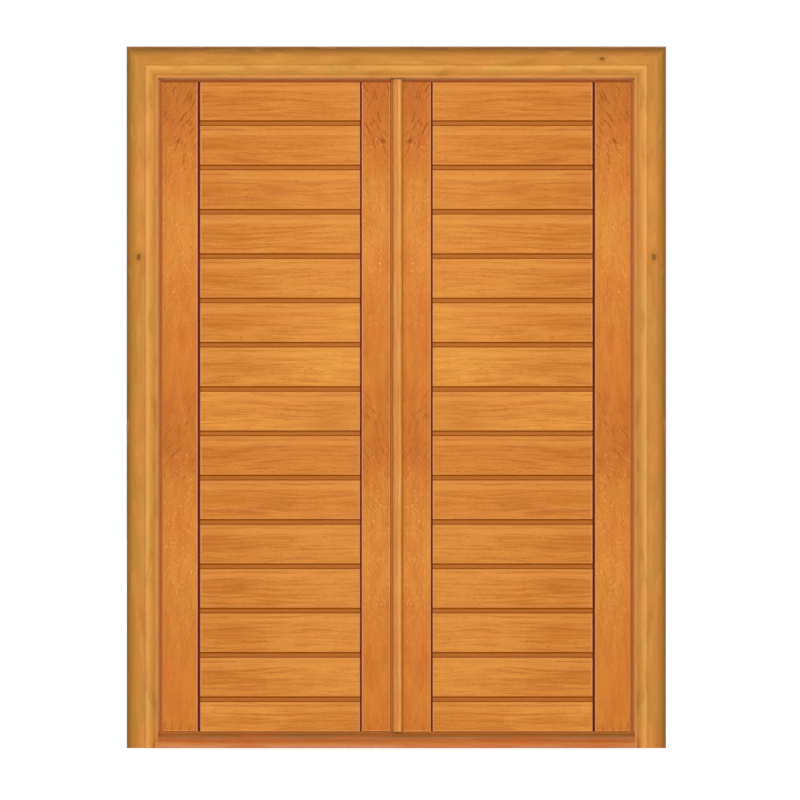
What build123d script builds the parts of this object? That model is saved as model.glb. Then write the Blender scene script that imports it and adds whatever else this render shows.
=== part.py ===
from build123d import *
import os

# A moulded timber frame with a pair of boarded leaves that swing away from the moulded side.
# Origin: centre of the sill's underside. +X to the right, +Y to the rear, +Z up. Millimetres.

# Frame
FRAME_WIDTH = 1680.0
FRAME_HEIGHT = 2185.0
FRAME_DEPTH = 76.0
ROUND_RADIUS = 28.0
FACE_DEPTH = 6.0
RIDGE_START = 56.0
RIDGE_BEND = (59.6, 1.8)
RIDGE_PEAK = 65.0
OVOLO_BEND = (79.0, 4.2)
TROUGH = 88.0
TROUGH_DEPTH = 14.0
FILLET_START = 93.0
FILLET_DEPTH = 11.0
LIP = 98.0
REBATE = 81.0
STOP_DEPTH = 33.0

# Clearance between the leaves and everything that stays still
CLEARANCE = 5.0

# Sill
SILL_NOSE = 20.0
SILL_NOSE_RADIUS = 4.0
SILL_STOP = 45.5
SILL_CREST = 8.0
SILL_FLOOR = 30.0
SILL_HORN = 8.0

# Leaves
LEAF_THICKNESS = 44.0
STEP_WIDTH = 13.0
STEP_DEPTH = 6.0
FACE_BOTTOM = 51.5
ARRIS = 2.0
BOARD_ARRIS = 1.0
MEETING_LEFT = -18.0
MEETING_RIGHT = -11.0

# Stiles and the deep grooves beside them
OUTER_GROOVE = (610.9, 618.1)
INNER_GROOVE = (108.1, 113.1)
TONGUE_THICKNESS = 20.0
TONGUE_LENGTH = 12.0

# Boards
BOARD_COUNT = 15
BOARD_PITCH = 138.0
FIRST_CHANNEL = 152.0
CHANNEL_HEIGHT = 17.0
CHANNEL_DEPTH = 5.5
QUIRK_DEPTH = 8.0
UPPER_QUIRK = 4.5
LOWER_QUIRK = 3.0
JOINT_TONGUE_THICKNESS = 12.0
JOINT_TONGUE_LENGTH = 8.0
JOINT_GROOVE_DEPTH = 8.5

# Cover bead on the right leaf's meeting edge
BEAD_RIGHT = 20.0
BEAD_FLAT = 10.5
BEAD_PEAK = 15.0
BEAD_PEAK_X = 10.0
BEAD_RIDGE = (2.0, 17.5)
BEAD_SIDE = 4.0

# Brush seals: one behind the bead, and one on the left leaf near the rear
SEAL_ROOT = 6.0
SEAL_PILE = 3.0
FRONT_SEAL_SET_BACK = 5.5
FRONT_SEAL_GAP = 2.0
REAR_SEAL_SET_BACK = 37.5
REAR_SEAL_GAP = 0.6

# Butt hinges
HINGE_LENGTH = 100.0
HINGE_CENTRES = (320.0, 1110.0, 1900.0)
FLAP_THICKNESS = 2.5
FLAP_WIDTH = 23.5
PIVOT_SET_BACK = 8.5
PIN_RADIUS = 2.5
PIN_CLEARANCE = 0.05
PIN_HEAD_HEIGHT = 2.0
PIN_HEAD_RADIUS = 4.0
KNUCKLES = 5
KNUCKLE_GAP = 0.4

# Derived places
HALF_WIDTH = FRAME_WIDTH / 2
FRONT = -FRAME_DEPTH / 2
REAR = FRAME_DEPTH / 2
STOP_REAR = FRONT + STOP_DEPTH
FLANGE_FRONT = STOP_REAR + CLEARANCE
LEAF_FRONT = FLANGE_FRONT - STEP_DEPTH
LEAF_MIDDLE = LEAF_FRONT + LEAF_THICKNESS / 2
FRONT_SEAL_Y = LEAF_FRONT + FRONT_SEAL_SET_BACK
REAR_SEAL_Y = LEAF_FRONT + REAR_SEAL_SET_BACK
LIP_X = HALF_WIDTH - LIP
LIP_Z = FRAME_HEIGHT - LIP
REBATE_X = HALF_WIDTH - REBATE
REBATE_Z = FRAME_HEIGHT - REBATE
LEAF_EDGE = REBATE_X - CLEARANCE
LEAF_TOP = REBATE_Z - CLEARANCE
LEAF_BOTTOM = SILL_FLOOR + CLEARANCE
FACE_EDGE = LIP_X - STEP_WIDTH
FACE_TOP = LIP_Z - STEP_WIDTH
PIVOT_X = LEAF_EDGE + CLEARANCE / 2
PIVOT_Y = REAR + PIVOT_SET_BACK
KNUCKLE_RADIUS = FLAP_THICKNESS + CLEARANCE / 2
KNUCKLE_LENGTH = HINGE_LENGTH / KNUCKLES
BEAD_TOP = LIP_Z - CLEARANCE
BEAD_BOTTOM = SILL_STOP + CLEARANCE
FRONT_SEAL_ENDS = (FACE_BOTTOM, FACE_TOP)
REAR_SEAL_ENDS = (LEAF_BOTTOM, LEAF_TOP)


def save(piece, label):
    """Labels one finished piece and writes its STEP file."""
    piece.label = label
    export_step(piece, f"parts/{label}.step")


def frame_outline(place):
    """Draws the moulded section; place turns (in from the edge, back from the front) into a point."""
    # From the outer edge: quarter round, flat, ridge with an ovolo side, trough, fillet, lip and rebate.
    Line(place(0, FRAME_DEPTH), place(0, FACE_DEPTH + ROUND_RADIUS))
    shoulder = ROUND_RADIUS * (1 - 0.5**0.5)
    ThreePointArc(
        place(0, FACE_DEPTH + ROUND_RADIUS),
        place(shoulder, FACE_DEPTH + shoulder),
        place(ROUND_RADIUS, FACE_DEPTH),
    )
    Line(place(ROUND_RADIUS, FACE_DEPTH), place(RIDGE_START, FACE_DEPTH))
    ThreePointArc(place(RIDGE_START, FACE_DEPTH), place(*RIDGE_BEND), place(RIDGE_PEAK, 0))
    ThreePointArc(place(RIDGE_PEAK, 0), place(*OVOLO_BEND), place(TROUGH, TROUGH_DEPTH))
    Polyline(
        place(TROUGH, TROUGH_DEPTH),
        place(FILLET_START, FILLET_DEPTH),
        place(LIP, FILLET_DEPTH),
        place(LIP, STOP_DEPTH),
        place(REBATE, STOP_DEPTH),
        place(REBATE, FRAME_DEPTH),
        place(0, FRAME_DEPTH),
    )


def mitre_plane():
    """The left corner's mitre: its normal points in and up, towards the head."""
    return Plane(origin=(-HALF_WIDTH, 0, FRAME_HEIGHT), z_dir=(1, 0, 1))


def left_jamb_piece():
    """Left jamb: the moulded section, mitred at its head, with recesses for three hinge flaps."""
    with BuildPart() as jamb:
        with BuildSketch(Plane.XY):
            with BuildLine():
                frame_outline(lambda inward, back: (inward - HALF_WIDTH, FRONT + back))
            make_face()
        extrude(amount=FRAME_HEIGHT)
        split(bisect_by=mitre_plane(), keep=Keep.BOTTOM)
        # Recesses for the hinge flaps, let into the rebate's side
        for centre in HINGE_CENTRES:
            with Locations((-REBATE_X, REAR, centre)):
                Box(
                    FLAP_THICKNESS,
                    FLAP_WIDTH,
                    HINGE_LENGTH,
                    align=(Align.MAX, Align.MAX, Align.CENTER),
                    mode=Mode.SUBTRACT,
                )
    return jamb.part


def head_piece():
    """Head: the same section laid flat, mitred at both ends."""
    with BuildPart() as head:
        with BuildSketch(Plane.YZ.offset(-HALF_WIDTH)):
            with BuildLine():
                frame_outline(lambda inward, back: (FRONT + back, FRAME_HEIGHT - inward))
            make_face()
        extrude(amount=FRAME_WIDTH)
        split(bisect_by=mitre_plane(), keep=Keep.TOP)
        split(
            bisect_by=Plane(origin=(HALF_WIDTH, 0, FRAME_HEIGHT), z_dir=(-1, 0, 1)),
            keep=Keep.TOP,
        )
    return head.part


def sill_piece(left_jamb, right_jamb):
    """Sill: a weathered nosing with a stop for the leaves, scribed to the jambs."""
    with BuildPart() as sill:
        # Weathered front with a rounded nosing, horned over the fillets of the jambs
        with BuildSketch(Plane.YZ.offset(-LIP_X - SILL_HORN)):
            with BuildLine():
                Polyline(
                    (FRONT, 0),
                    (FRONT, SILL_NOSE),
                    (STOP_REAR - SILL_CREST, SILL_STOP),
                    (STOP_REAR, SILL_STOP),
                    (STOP_REAR, 0),
                    close=True,
                )
            make_face()
            nosing = vertices().sort_by(Axis.X)[:2].sort_by(Axis.Y)[-1]
            fillet(nosing, SILL_NOSE_RADIUS)
        extrude(amount=2 * (LIP_X + SILL_HORN))
        # Rebate floor that runs the full width between the rebates
        with BuildSketch(Plane.YZ.offset(-REBATE_X)):
            with Locations((STOP_REAR, 0)):
                Rectangle(REAR - STOP_REAR, SILL_FLOOR, align=(Align.MIN, Align.MIN))
        extrude(amount=2 * REBATE_X)
        add(left_jamb, mode=Mode.SUBTRACT)
        add(right_jamb, mode=Mode.SUBTRACT)
    return sill.part


def cut_leaf_steps(left, right):
    """Cuts the step along the top and the bottom of a leaf piece between two places in X."""
    middle = (left + right) / 2
    width = right - left
    with Locations((middle, FLANGE_FRONT, FACE_TOP)):
        Box(
            width,
            STEP_DEPTH,
            LEAF_TOP - FACE_TOP,
            align=(Align.CENTER, Align.MAX, Align.MIN),
            mode=Mode.SUBTRACT,
        )
    with Locations((middle, FLANGE_FRONT, FACE_BOTTOM)):
        Box(
            width,
            STEP_DEPTH,
            FACE_BOTTOM - LEAF_BOTTOM,
            align=(Align.CENTER, Align.MAX, Align.MAX),
            mode=Mode.SUBTRACT,
        )


def left_hinge_stile_piece():
    """Hinge stile: stepped on its outer edge and both ends, slotted for the board tongues."""
    inner = -OUTER_GROOVE[1]
    slot_half = TONGUE_THICKNESS / 2
    with BuildPart() as stile:
        with BuildSketch(Plane.XY.offset(LEAF_BOTTOM)):
            with BuildLine():
                Polyline(
                    (-LEAF_EDGE, REAR),
                    (-LEAF_EDGE, FLANGE_FRONT),
                    (-FACE_EDGE, FLANGE_FRONT),
                    (-FACE_EDGE, LEAF_FRONT),
                    (inner, LEAF_FRONT),
                    (inner, LEAF_MIDDLE - slot_half),
                    (inner - TONGUE_LENGTH, LEAF_MIDDLE - slot_half),
                    (inner - TONGUE_LENGTH, LEAF_MIDDLE + slot_half),
                    (inner, LEAF_MIDDLE + slot_half),
                    (inner, REAR),
                    close=True,
                )
            make_face()
        extrude(amount=LEAF_TOP - LEAF_BOTTOM)
        cut_leaf_steps(-LEAF_EDGE, inner)
        fillet(stile.faces().filter_by(Axis.Y).sort_by(Axis.Y)[0].edges(), ARRIS)
        fillet(stile.edges().filter_by(Axis.Z).group_by(Axis.Y)[-1], ARRIS)
        # Recesses for the hinge flaps
        for centre in HINGE_CENTRES:
            with Locations((-LEAF_EDGE, REAR, centre)):
                Box(
                    FLAP_THICKNESS,
                    FLAP_WIDTH,
                    HINGE_LENGTH,
                    align=(Align.MIN, Align.MAX, Align.CENTER),
                    mode=Mode.SUBTRACT,
                )
    return stile.part


def meeting_stile_piece(edge, inner, seal_y, seal_ends, beaded):
    """A meeting stile from its free edge to its inner groove, slotted for the board tongues and a seal."""
    slot_half = TONGUE_THICKNESS / 2
    outward = 1 if edge > inner else -1
    slot_end = inner + outward * TONGUE_LENGTH
    with BuildPart() as stile:
        with BuildSketch(Plane.XY.offset(LEAF_BOTTOM)):
            with BuildLine():
                Polyline(
                    (edge, REAR),
                    (edge, LEAF_FRONT),
                    (inner, LEAF_FRONT),
                    (inner, LEAF_MIDDLE - slot_half),
                    (slot_end, LEAF_MIDDLE - slot_half),
                    (slot_end, LEAF_MIDDLE + slot_half),
                    (inner, LEAF_MIDDLE + slot_half),
                    (inner, REAR),
                    close=True,
                )
            make_face()
        extrude(amount=LEAF_TOP - LEAF_BOTTOM)
        cut_leaf_steps(min(edge, inner), max(edge, inner))
        front_edges = stile.faces().filter_by(Axis.Y).sort_by(Axis.Y)[0].edges()
        if beaded:
            # The edge that carries the cover bead stays square, so that the two meet flush
            front_edges = front_edges.sort_by(Axis.X)[1:].filter_by(Axis.Z)
        fillet(front_edges, ARRIS)
        fillet(stile.edges().filter_by(Axis.Z).group_by(Axis.Y)[-1], ARRIS)
        with Locations((edge - outward * SEAL_ROOT / 2, seal_y, seal_ends[0])):
            Box(
                SEAL_ROOT,
                SEAL_ROOT,
                seal_ends[1] - seal_ends[0],
                align=(Align.CENTER, Align.CENTER, Align.MIN),
                mode=Mode.SUBTRACT,
            )
    return stile.part


def board_outline(low, high, groove, tongue):
    """Half of a board's section in front of its middle plane, with its joint edges and channel."""
    joint = JOINT_TONGUE_THICKNESS / 2
    front = LEAF_FRONT
    middle = LEAF_MIDDLE
    points = []
    if groove:
        points += [(middle, low + JOINT_GROOVE_DEPTH), (middle - joint, low + JOINT_GROOVE_DEPTH)]
        points += [(middle - joint, low)]
    else:
        points += [(middle, low)]
    points += [(front, low), (front, high)]
    if tongue:
        top = high + CHANNEL_HEIGHT
        points += [
            (front + QUIRK_DEPTH, high),
            (front + CHANNEL_DEPTH, high + LOWER_QUIRK),
            (front + CHANNEL_DEPTH, top - UPPER_QUIRK),
            (front + QUIRK_DEPTH, top),
            (middle - joint, top),
            (middle - joint, top + JOINT_TONGUE_LENGTH),
            (middle, top + JOINT_TONGUE_LENGTH),
        ]
    else:
        points += [(middle, high)]
    return points


def left_board_piece(number):
    """Board number of the left leaf, counted from the bottom; the end boards carry the leaf's step."""
    first = number == 1
    last = number == BOARD_COUNT
    channel_below = FIRST_CHANNEL + BOARD_PITCH * (number - 2)
    low = LEAF_BOTTOM if first else channel_below + CHANNEL_HEIGHT / 2
    high = LEAF_TOP if last else channel_below + BOARD_PITCH - CHANNEL_HEIGHT / 2
    tongue_top = LEAF_TOP if last else high + CHANNEL_HEIGHT
    with BuildPart() as board:
        with BuildSketch(Plane.YZ.offset(-OUTER_GROOVE[0])):
            with BuildLine():
                Polyline(board_outline(low, high, not first, not last), close=True)
            make_face()
            corners = vertices().filter_by_position(Axis.X, LEAF_FRONT - 1, LEAF_FRONT + 1).sort_by(Axis.Y)
            chamfer(corners[1:] if first else corners[:1] if last else corners, BOARD_ARRIS)
            mirror(about=Plane(origin=(LEAF_MIDDLE, 0, 0), z_dir=(1, 0, 0)))
        extrude(amount=OUTER_GROOVE[0] - INNER_GROOVE[1])
        # End tongues that cross the grooves and enter the slots of the stiles
        with BuildSketch(Plane.YZ.offset(-OUTER_GROOVE[1] - TONGUE_LENGTH)):
            with Locations((LEAF_MIDDLE, low)):
                Rectangle(TONGUE_THICKNESS, tongue_top - low, align=(Align.CENTER, Align.MIN))
        extrude(amount=OUTER_GROOVE[1] - OUTER_GROOVE[0] + TONGUE_LENGTH)
        with BuildSketch(Plane.YZ.offset(-INNER_GROOVE[1])):
            with Locations((LEAF_MIDDLE, low)):
                Rectangle(TONGUE_THICKNESS, tongue_top - low, align=(Align.CENTER, Align.MIN))
        extrude(amount=INNER_GROOVE[1] - INNER_GROOVE[0] + TONGUE_LENGTH)
        if first or last:
            step_low, step_high = (LEAF_BOTTOM, FACE_BOTTOM) if first else (FACE_TOP, LEAF_TOP)
            with BuildSketch(Plane.YZ.offset(-OUTER_GROOVE[1])):
                with Locations((FLANGE_FRONT, step_low)):
                    Rectangle(REAR - FLANGE_FRONT, step_high - step_low, align=(Align.MIN, Align.MIN))
            extrude(amount=OUTER_GROOVE[1] - INNER_GROOVE[0])
            cut_leaf_steps(-OUTER_GROOVE[1] - TONGUE_LENGTH, -INNER_GROOVE[0] + TONGUE_LENGTH)
            face = board.faces().filter_by(Axis.Y).sort_by(Axis.Y)[0]
            chamfer(face.edges().filter_by(Axis.X).sort_by(Axis.Z)[0 if first else -1], BOARD_ARRIS)
    return board.part


def meeting_bead_piece():
    """Moulded cover bead: a flat beside the gap, then a ridge and a steep right side."""
    with BuildPart() as bead:
        with BuildSketch(Plane.XY.offset(BEAD_BOTTOM)):
            with BuildLine():
                Polyline(
                    (BEAD_RIDGE[1], LEAF_FRONT - BEAD_FLAT),
                    (BEAD_RIGHT, LEAF_FRONT - BEAD_SIDE),
                    (BEAD_RIGHT, LEAF_FRONT),
                    (MEETING_RIGHT, LEAF_FRONT),
                    (MEETING_RIGHT, LEAF_FRONT - BEAD_FLAT),
                    (BEAD_RIDGE[0], LEAF_FRONT - BEAD_FLAT),
                )
                ThreePointArc(
                    (BEAD_RIDGE[0], LEAF_FRONT - BEAD_FLAT),
                    (BEAD_PEAK_X, LEAF_FRONT - BEAD_PEAK),
                    (BEAD_RIDGE[1], LEAF_FRONT - BEAD_FLAT),
                )
            make_face()
            fillet(vertices().group_by(Axis.X)[0].sort_by(Axis.Y)[0], ARRIS)
        extrude(amount=BEAD_TOP - BEAD_BOTTOM)
    return bead.part


def seal_piece(edge, far_edge, seal_y, seal_ends, gap):
    """Brush seal: a square root in one stile's slot and a thin pile towards the other stile."""
    inward, outward = (Align.MAX, Align.MIN) if far_edge > edge else (Align.MIN, Align.MAX)
    with BuildPart() as seal:
        with BuildSketch(Plane.XY.offset(seal_ends[0])):
            with Locations((edge, seal_y)):
                Rectangle(SEAL_ROOT, SEAL_ROOT, align=(inward, Align.CENTER))
                Rectangle(abs(far_edge - edge) - gap, SEAL_PILE, align=(outward, Align.CENTER))
        extrude(amount=seal_ends[1] - seal_ends[0])
    return seal.part


def knuckle_span(number):
    """Height of a knuckle above the hinge's foot and its length, clear of the next one."""
    return number * KNUCKLE_LENGTH + KNUCKLE_GAP / 2, KNUCKLE_LENGTH - KNUCKLE_GAP


def flap_piece(outside, foot, numbers):
    """One flap with its solid knuckles, from the foot of the hinge up."""
    inward = Align.MAX if outside > -PIVOT_X else Align.MIN
    with BuildPart() as flap:
        with BuildSketch(Plane.XY.offset(foot)):
            with Locations((outside, REAR)):
                Rectangle(FLAP_THICKNESS, FLAP_WIDTH, align=(inward, Align.MAX))
        extrude(amount=HINGE_LENGTH)
        for number in numbers:
            start, length = knuckle_span(number)
            with BuildSketch(Plane.XY.offset(foot + start)):
                with Locations((outside, REAR)):
                    Rectangle(FLAP_THICKNESS, PIVOT_SET_BACK, align=(inward, Align.MIN))
                with Locations((-PIVOT_X, PIVOT_Y)):
                    Circle(KNUCKLE_RADIUS)
            extrude(amount=length)
    return flap.part


def pin_piece(foot):
    """Fast pin through one hinge, with a flat head on the top knuckle."""
    with BuildPart() as pin:
        with BuildSketch(Plane.XY.offset(foot + KNUCKLE_GAP)):
            with Locations((-PIVOT_X, PIVOT_Y)):
                Circle(PIN_RADIUS)
        extrude(amount=HINGE_LENGTH - 2 * KNUCKLE_GAP)
        with BuildSketch(Plane.XY.offset(foot + HINGE_LENGTH - KNUCKLE_GAP)):
            with Locations((-PIVOT_X, PIVOT_Y)):
                Circle(PIN_HEAD_RADIUS)
        extrude(amount=PIN_HEAD_HEIGHT)
    return pin.part


def left_frame_hinges_piece():
    """Frame halves: flap, three knuckles and the fast pin, as one solid for each hinge."""
    with BuildPart() as hinges:
        for centre in HINGE_CENTRES:
            foot = centre - HINGE_LENGTH / 2
            add(flap_piece(-PIVOT_X - KNUCKLE_RADIUS, foot, range(0, KNUCKLES, 2)))
            add(pin_piece(foot))
    return hinges.part


def left_leaf_hinges_piece():
    """Leaf halves: flap and the two knuckles between the frame's, bored to run on the pin."""
    with BuildPart() as hinges:
        for centre in HINGE_CENTRES:
            foot = centre - HINGE_LENGTH / 2
            add(flap_piece(-PIVOT_X + KNUCKLE_RADIUS, foot, range(1, KNUCKLES, 2)))
            with BuildSketch(Plane.XY.offset(foot)):
                with Locations((-PIVOT_X, PIVOT_Y)):
                    Circle(PIN_RADIUS + PIN_CLEARANCE)
            extrude(amount=HINGE_LENGTH, mode=Mode.SUBTRACT)
    return hinges.part


def mirrored(piece):
    """The same piece for the other side of the door."""
    return mirror(piece, about=Plane.YZ)


def main():
    """Builds every piece of the door and writes it."""
    os.makedirs("parts", exist_ok=True)

    left_jamb = left_jamb_piece()
    right_jamb = mirrored(left_jamb)
    save(head_piece(), "head")
    save(left_jamb, "left_jamb")
    save(right_jamb, "right_jamb")
    save(sill_piece(left_jamb, right_jamb), "sill")

    frame_hinges = left_frame_hinges_piece()
    leaf_hinges = left_leaf_hinges_piece()
    save(frame_hinges, "left_frame_hinges")
    save(leaf_hinges, "left_leaf_hinges")
    save(mirrored(frame_hinges), "right_frame_hinges")
    save(mirrored(leaf_hinges), "right_leaf_hinges")

    hinge_stile = left_hinge_stile_piece()
    save(hinge_stile, "left_hinge_stile")
    save(mirrored(hinge_stile), "right_hinge_stile")
    front_place = (FRONT_SEAL_Y, FRONT_SEAL_ENDS)
    rear_place = (REAR_SEAL_Y, REAR_SEAL_ENDS)
    left_stile = meeting_stile_piece(MEETING_LEFT, -INNER_GROOVE[0], *rear_place, beaded=False)
    right_stile = meeting_stile_piece(MEETING_RIGHT, INNER_GROOVE[0], *front_place, beaded=True)
    save(left_stile, "left_meeting_stile")
    save(right_stile, "right_meeting_stile")
    for number in range(1, BOARD_COUNT + 1):
        board = left_board_piece(number)
        save(board, f"left_board_{number:02d}")
        save(mirrored(board), f"right_board_{number:02d}")

    save(meeting_bead_piece(), "meeting_bead")
    save(seal_piece(MEETING_RIGHT, MEETING_LEFT, *front_place, FRONT_SEAL_GAP), "meeting_seal")
    save(seal_piece(MEETING_LEFT, MEETING_RIGHT, *rear_place, REAR_SEAL_GAP), "rear_meeting_seal")


main()
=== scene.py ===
import functools
import logging
import math
from dataclasses import dataclass
from enum import Enum

import bpy
import numpy as np
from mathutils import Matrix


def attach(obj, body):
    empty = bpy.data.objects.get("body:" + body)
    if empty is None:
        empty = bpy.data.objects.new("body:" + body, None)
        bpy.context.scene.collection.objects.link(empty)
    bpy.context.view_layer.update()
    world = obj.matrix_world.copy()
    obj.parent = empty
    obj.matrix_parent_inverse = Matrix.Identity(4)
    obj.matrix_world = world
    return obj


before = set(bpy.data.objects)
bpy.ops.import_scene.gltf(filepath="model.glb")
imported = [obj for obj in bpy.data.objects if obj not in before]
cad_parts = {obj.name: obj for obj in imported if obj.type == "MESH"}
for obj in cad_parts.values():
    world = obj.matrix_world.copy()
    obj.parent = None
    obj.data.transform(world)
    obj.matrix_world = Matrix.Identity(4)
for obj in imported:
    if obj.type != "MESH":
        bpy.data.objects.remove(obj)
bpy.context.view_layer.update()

# Boarded double door in lacquered hardwood. Metres, in the CAD frame: +X right, +Y rear, +Z up.
# Shades are screen values, 0 to 255. LACQUER_SHEEN is the white that the lacquer reflects, and HAIR the
# softness of a crisp edge.

log = logging.getLogger("double_door")

Node = bpy.types.Node
Socket = bpy.types.NodeSocket
Tree = bpy.types.NodeTree
Material = bpy.types.Material
Piece = bpy.types.Object
Outputs = bpy.types.NodeOutputs
Value = float | Socket
Span = tuple[float, float]
Scales = tuple[float, float, float]
Paint = tuple[float, float, float]
Shade = tuple[int, int, int]
Stops = tuple[tuple[float, int, int, int], ...]

LACQUER_SHEEN = 0.012
HAIR = 0.0002


def paint(red: int, green: int, blue: int) -> Paint:
    """Turns a colour's screen values, 0 to 255, into the linear colour that a shader takes."""
    channels = (red / 255, green / 255, blue / 255)
    return tuple(c / 12.92 if c <= 0.04045 else ((c + 0.055) / 1.055) ** 2.4 for c in channels)


def lacquered(red: int, green: int, blue: int) -> Paint:
    """The linear colour of timber seen through lacquer, less the white that the lacquer reflects."""
    return tuple(max(c - LACQUER_SHEEN, 0.0) for c in paint(red, green, blue))


class Run(Enum):
    """The way that a member's grain runs."""

    ACROSS = "x"
    UPRIGHT = "z"


class Side(Enum):
    """The two leaves, with the sign of their place in X."""

    LEFT = -1
    RIGHT = 1

    @property
    def word(self) -> str:
        """The side's name as the CAD nodes spell it."""
        return self.name.lower()

    @property
    def body(self) -> str:
        """The CAD body of this side's leaf."""
        return f"{self.word}_leaf"


@dataclass(frozen=True)
class DoorSizes:
    """The sizes that the finishes need, from the dimensions of the CAD model, in metres."""

    half_width: float = 0.840
    height: float = 2.185
    front: float = -0.038
    rear: float = 0.038
    leaf_front: float = -0.006
    lip: float = 0.742
    step_width: float = 0.013
    face_edge: float = 0.729
    leaf_bottom: float = 0.035
    leaf_top: float = 2.099
    face_top: float = 2.074
    face_bottom: float = 0.0515
    outer_groove: Span = (0.6109, 0.6181)
    inner_groove: Span = (0.1081, 0.1131)
    board_pitch: float = 0.138
    first_channel: float = 0.152
    board_count: int = 15


DOOR = DoorSizes()


class Graph:
    """Places nodes in one node tree and wires them by short calls."""

    def __init__(self, tree: Tree) -> None:
        """Keeps the tree that the later calls add to."""
        self.tree = tree

    def feed(self, socket: Socket, value: object) -> None:
        """Links a socket to another, or sets it to a plain value.

        Args:
            socket: The input to feed.
            value: The output to link to it, or a plain value.
        """
        if isinstance(value, bpy.types.NodeSocket):
            self.tree.links.new(value, socket)
        else:
            socket.default_value = value

    def add(self, kind: str, inputs: dict[str | int, object] | None = None, **settings: object) -> Node:
        """Adds one node.

        Args:
            kind: Blender's name of the node type.
            inputs: Values or sockets for the node's inputs, by name or number.
            settings: The node's own properties.

        Returns:
            The new node.
        """
        node = self.tree.nodes.new(kind)
        for name, setting in settings.items():
            setattr(node, name, setting)
        for key, value in (inputs or {}).items():
            self.feed(node.inputs[key], value)
        return node

    def math(self, operation: str, first: Value, second: Value = 0.0, clamp: bool = False) -> Socket:
        """One sum on one or two numbers, held to 0 to 1 where clamp is set."""
        node = self.add("ShaderNodeMath", {0: first, 1: second}, operation=operation, use_clamp=clamp)
        return node.outputs[0]

    def plus(self, first: Value, second: Value) -> Socket:
        """The sum of two numbers."""
        return self.math("ADD", first, second)

    def less(self, first: Value, second: Value) -> Socket:
        """The first number less the second."""
        return self.math("SUBTRACT", first, second)

    def share(self, part: Value, whole: float) -> Socket:
        """A part as a share of a whole, held to 0 to 1."""
        return self.math("DIVIDE", part, whole, clamp=True)

    def fused(self, value: Value, factor: float, offset: Value) -> Socket:
        """A number times a factor, plus an offset."""
        parts = {0: value, 1: factor, 2: offset}
        return self.add("ShaderNodeMath", parts, operation="MULTIPLY_ADD").outputs[0]

    def times(self, *factors: Value) -> Socket:
        """The product of all its factors, which is the factor itself where there is one."""
        return functools.reduce(lambda first, second: self.math("MULTIPLY", first, second), factors)

    def step(self, value: Value, low: float, high: float, start: float = 0.0, end: float = 1.0) -> Socket:
        """A smooth step from start to end as the value goes from low to high, which may be the smaller."""
        limits = {"Value": value, "From Min": low, "From Max": high, "To Min": start, "To Max": end}
        return self.add("ShaderNodeMapRange", limits, interpolation_type="SMOOTHSTEP").outputs["Result"]

    def band(self, value: Value, low: float, high: float, soft: float) -> Socket:
        """A mask that is 1 between low and high and fades to 0 over a soft distance outside them."""
        return self.times(self.step(value, low - soft, low), self.step(value, high + soft, high))

    def point(self, x: Value, y: Value, z: Value) -> Socket:
        """A vector from three numbers."""
        return self.add("ShaderNodeCombineXYZ", {0: x, 1: y, 2: z}).outputs[0]

    def grey(self, value: Value) -> Socket:
        """A number as a grey colour."""
        return self.point(value, value, value)

    def noise(self, place: Socket, scale: float, detail: float = 2.0, roughness: float = 0.5) -> Socket:
        """Soft 3-D noise about 0.5 with features 1 / scale apart."""
        settings = {"Vector": place, "Scale": scale, "Detail": detail, "Roughness": roughness}
        return self.add("ShaderNodeTexNoise", settings).outputs["Fac"]

    def stretched(self, parts: tuple[Value, Value, Value], scales: Scales, detail: float = 2.0,
                  roughness: float = 0.5) -> Socket:
        """Soft noise that is drawn out or squeezed along each part of the place by a scale of its own."""
        place = self.point(*(self.times(part, scale) for part, scale in zip(parts, scales)))
        return self.noise(place, 1.0, detail, roughness)

    def blend(self, share: Value, first: object, second: object, way: str = "MIX") -> Socket:
        """Mixes two colours.

        Args:
            share: How much of the second colour comes through.
            first, second: Colours or colour sockets.
            way: Blender's name of the blend mode.

        Returns:
            The socket with the mixed colour.
        """
        colours = [c if isinstance(c, bpy.types.NodeSocket) else (*c, 1.0) for c in (first, second)]
        node = self.add("ShaderNodeMix", data_type="RGBA", blend_type=way)
        self.feed(node.inputs[0], share)
        self.feed(node.inputs[6], colours[0])
        self.feed(node.inputs[7], colours[1])
        return node.outputs[2]

    def stain(self, colour: Socket, shade: Shade, *shares: Value) -> Socket:
        """Lays a shade of lacquered timber over a colour, by the product of its shares; it lays the timber's
        own marks and also painted shade and light.
        """
        return self.blend(self.times(*shares), colour, lacquered(*shade))

    def ramp(self, value: Value, stops: list[tuple[float, Paint]]) -> Socket:
        """A run of colours along a number.

        Args:
            value: The number, 0 to 1.
            stops: Places on the run with their colours, in order.

        Returns:
            The socket with the colour at that number.
        """
        node = self.add("ShaderNodeValToRGB", {0: value})
        elements = node.color_ramp.elements
        while len(elements) < len(stops):
            elements.new(0.5)
        for element, (place, colour) in zip(elements, stops):
            element.position = place
            element.color = (*colour, 1.0)
        return node.outputs[0]

    def lacquer(self, share: Socket, stops: Stops, reach: float = 1.0) -> Socket:
        """A run of lacquered colours over a reach, each stop a place on it and its screen values."""
        return self.ramp(share, [(place / reach, lacquered(*shade)) for place, *shade in stops])


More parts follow.
